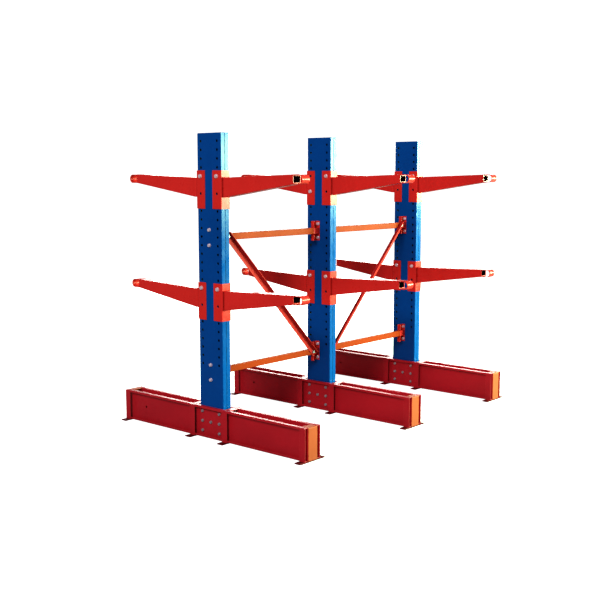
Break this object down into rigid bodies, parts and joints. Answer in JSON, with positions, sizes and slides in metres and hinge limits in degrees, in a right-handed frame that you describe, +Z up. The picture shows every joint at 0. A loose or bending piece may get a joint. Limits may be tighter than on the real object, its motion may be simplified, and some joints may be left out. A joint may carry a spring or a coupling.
{
  "type": "cantilever rack",
  "caption": "Free-standing double-sided cantilever rack: punched box columns on channel bases, saddle-mounted tapered arms with looped tips, braced by tubes and diagonals.",
  "frame": {"origin": "on the floor, at the centre of the rack's footprint, under the middle column", "axes": "+X out along the arms of the right-hand side, +Y along the row of columns, +Z up"},
  "size_m": [2.276, 3.262, 2.69],
  "materials": {
    "column_paint": "deep blue satin paint, smooth",
    "arm_paint": "signal red satin paint",
    "base_paint": "deep red satin paint",
    "brace_paint": "orange-red satin paint",
    "zinc_fastener": "bright zinc plate"
  },
  "bodies": {
    "root": {"arm_1_left_lower": "arm_paint", "arm_1_left_upper": "arm_paint", "arm_1_right_lower": "arm_paint", "arm_1_right_upper": "arm_paint", "arm_2_left_lower": "arm_paint", "arm_2_left_upper": "arm_paint", "arm_2_right_lower": "arm_paint", "arm_2_right_upper": "arm_paint", "arm_3_left_lower": "arm_paint", "arm_3_left_upper": "arm_paint", "arm_3_right_lower": "arm_paint", "arm_3_right_upper": "arm_paint", "arm_bolt_1_left_lower": "zinc_fastener", "arm_bolt_1_left_upper": "zinc_fastener", "arm_bolt_1_right_lower": "zinc_fastener", "arm_bolt_1_right_upper": "zinc_fastener", "arm_bolt_2_left_lower": "zinc_fastener", "arm_bolt_2_left_upper": "zinc_fastener", "arm_bolt_2_right_lower": "zinc_fastener", "arm_bolt_2_right_upper": "zinc_fastener", "arm_bolt_3_left_lower": "zinc_fastener", "arm_bolt_3_left_upper": "zinc_fastener", "arm_bolt_3_right_lower": "zinc_fastener", "arm_bolt_3_right_upper": "zinc_fastener", "base_1_channel_back": "base_paint", "base_1_channel_front": "base_paint", "base_1_end_plate_left": "base_paint", "base_1_end_plate_right": "base_paint", "base_1_foot_1": "base_paint", "base_1_foot_2": "base_paint", "base_1_foot_3": "base_paint", "base_1_foot_4": "base_paint", "base_2_channel_back": "base_paint", "base_2_channel_front": "base_paint", "base_2_end_plate_left": "base_paint", "base_2_end_plate_right": "base_paint", "base_2_foot_1": "base_paint", "base_2_foot_2": "base_paint", "base_2_foot_3": "base_paint", "base_2_foot_4": "base_paint", "base_3_channel_back": "base_paint", "base_3_channel_front": "base_paint", "base_3_end_plate_left": "base_paint", "base_3_end_plate_right": "base_paint", "base_3_foot_1": "base_paint", "base_3_foot_2": "base_paint", "base_3_foot_3": "base_paint", "base_3_foot_4": "base_paint", "brace_1_lower": "brace_paint", "brace_1_upper": "brace_paint", "brace_2_lower": "brace_paint", "brace_2_upper": "brace_paint", "column_1_back": "column_paint", "column_1_front": "column_paint", "column_2_back": "column_paint", "column_2_front": "column_paint", "column_3_back": "column_paint", "column_3_front": "column_paint", "diagonal_1": "brace_paint", "diagonal_2": "brace_paint"}
  },
  "joints": []
}
